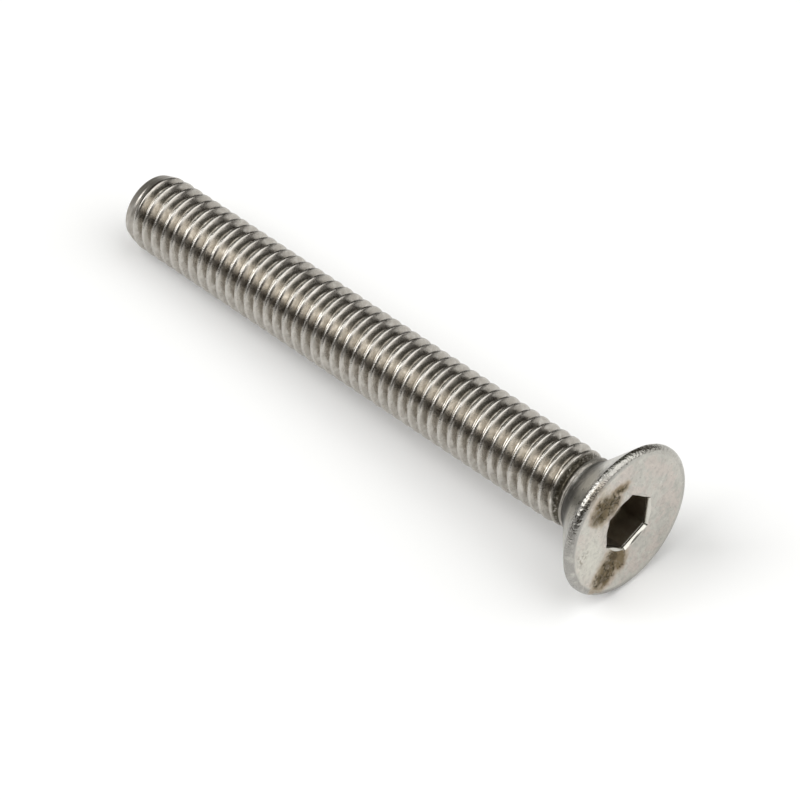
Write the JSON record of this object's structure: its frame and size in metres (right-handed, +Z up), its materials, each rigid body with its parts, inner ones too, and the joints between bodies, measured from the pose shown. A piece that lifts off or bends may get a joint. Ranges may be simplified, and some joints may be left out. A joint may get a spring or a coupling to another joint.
{
  "type": "countersunk socket screw",
  "caption": "Metric countersunk screw with a hexagon socket, a flat head with a rounded rim, and a shank threaded almost up to its head.",
  "frame": {"origin": "on the surface that the screw lies on, under the middle of its bounding box", "axes": "+X towards the head, along the line of the screw seen from above; +Z up. The screw's axis rises by 3.58 degrees towards the head, because it lies on the rim of its head and the last crest near its point"},
  "size_m": [0.0498, 0.0119, 0.0119],
  "materials": {
    "stainless_steel": "bright rolled and cold-headed stainless steel, with a satin flat on its head"
  },
  "bodies": {
    "root": {"screw": "stainless_steel"}
  },
  "joints": []
}
